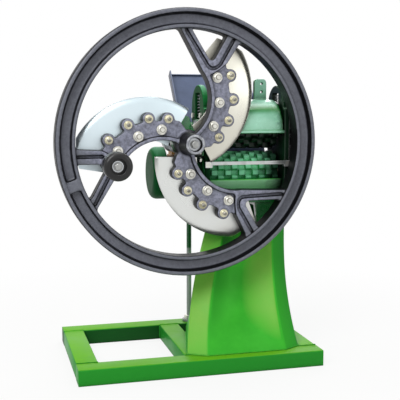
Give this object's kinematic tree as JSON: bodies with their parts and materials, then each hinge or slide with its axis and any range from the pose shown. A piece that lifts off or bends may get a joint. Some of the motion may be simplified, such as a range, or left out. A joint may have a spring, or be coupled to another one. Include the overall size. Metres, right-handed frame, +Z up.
{
  "type": "chaff cutter",
  "caption": "Hand chaff cutter: a spoked flywheel with curved knives and a crank turns in front of toothed feed rollers, on a flared green pedestal and rail base.",
  "frame": {"origin": "on the floor under the middle of the base frame, on the underside of the middle rail", "axes": "+Z up, +X to the right as seen from the wheel side, -Y towards the person who turns the crank"},
  "size_m": [0.611, 0.472, 0.83],
  "materials": {
    "rail_paint": "bright green enamel, sprayed",
    "head_paint": "dark green gloss enamel, brushed over castings",
    "cast_iron": "as-cast grey iron, darkened",
    "knife_steel": "ground tool steel",
    "bright_steel": "turned or zinc-plated steel",
    "yellow_zinc": "yellow passivated zinc",
    "bronze": "turned bearing bronze",
    "black_plastic": "moulded black plastic",
    "blue_sheet": "blue-grey painted sheet"
  },
  "bodies": {
    "frame": {"base_front_rail": "rail_paint", "base_rear_rail": "rail_paint", "base_left_rail": "rail_paint", "base_middle_rail": "rail_paint", "base_right_rail": "rail_paint", "pedestal": "rail_paint", "neck": "head_paint", "bed_plate": "head_paint", "left_cheek": "head_paint", "right_cheek": "head_paint", "cheek_bolts": "bright_steel", "hood": "head_paint", "hood_bolts": "bright_steel", "chin": "head_paint", "shear_plate": "bright_steel", "shear_bolts": "bright_steel", "front_bearing": "head_paint", "rear_bearing": "head_paint", "main_bushes": "bronze", "oil_cups": "head_paint", "bearing_bolts": "bright_steel", "gear_case": "head_paint", "case_bolts": "bright_steel", "lower_bushes": "bronze", "pressure_springs": "bright_steel", "chute": "blue_sheet", "chute_bracket": "head_paint", "chute_rivets": "bright_steel", "stay_rod": "bright_steel", "stay_nuts": "bright_steel"},
    "rotor": {"flywheel": "cast_iron", "knife_1": "knife_steel", "knife_2": "knife_steel", "knife_3": "knife_steel", "clamp_bolts": "bright_steel", "clamp_nuts": "bright_steel", "adjusting_screws": "yellow_zinc", "main_shaft": "bright_steel", "shaft_collar": "bright_steel", "hub_key": "bright_steel", "hub_bolt": "bright_steel", "worm": "bright_steel", "crank_spindle": "bright_steel", "grip_bolt": "bright_steel"},
    "grip": {"grip": "black_plastic"},
    "lower_feed": {"lower_shaft": "bright_steel", "lower_roller": "head_paint", "worm_wheel": "bronze", "lower_gear": "cast_iron"},
    "carriage": {"upper_block_left": "head_paint", "upper_block_right": "head_paint"},
    "upper_feed": {"upper_shaft": "bright_steel", "upper_roller": "head_paint", "upper_gear": "cast_iron"}
  },
  "joints": [
    {"name": "flywheel_turn", "type": "hinge", "parent": "frame", "child": "rotor", "pos_m": [-0.018, -0.095, 0.525], "axis": [0, 1, 0], "continuous": true},
    {"name": "grip_spin", "type": "hinge", "parent": "rotor", "child": "grip", "pos_m": [-0.2014, -0.175, 0.48367], "axis": [0, 1, 0], "continuous": true},
    {"name": "lower_roller_turn", "type": "hinge", "parent": "frame", "child": "lower_feed", "pos_m": [0.132, 0.011, 0.45], "axis": [1, 0, 0], "continuous": true},
    {"name": "upper_roller_lift", "type": "slide", "parent": "frame", "child": "carriage", "axis": [0, 0, 1], "range_m": [0, 0.012], "stiffness_N_per_m": 8000, "springref_m": -0.01, "deforming": ["pressure_springs"]},
    {"name": "upper_roller_turn", "type": "hinge", "parent": "carriage", "child": "upper_feed", "pos_m": [0.132, 0.011, 0.556], "axis": [1, 0, 0], "continuous": true}
  ],
  "couplings": [
    {"joint": "lower_roller_turn", "follows": "flywheel_turn", "ratio": 0.1},
    {"joint": "upper_roller_turn", "follows": "flywheel_turn", "ratio": -0.1}
  ]
}
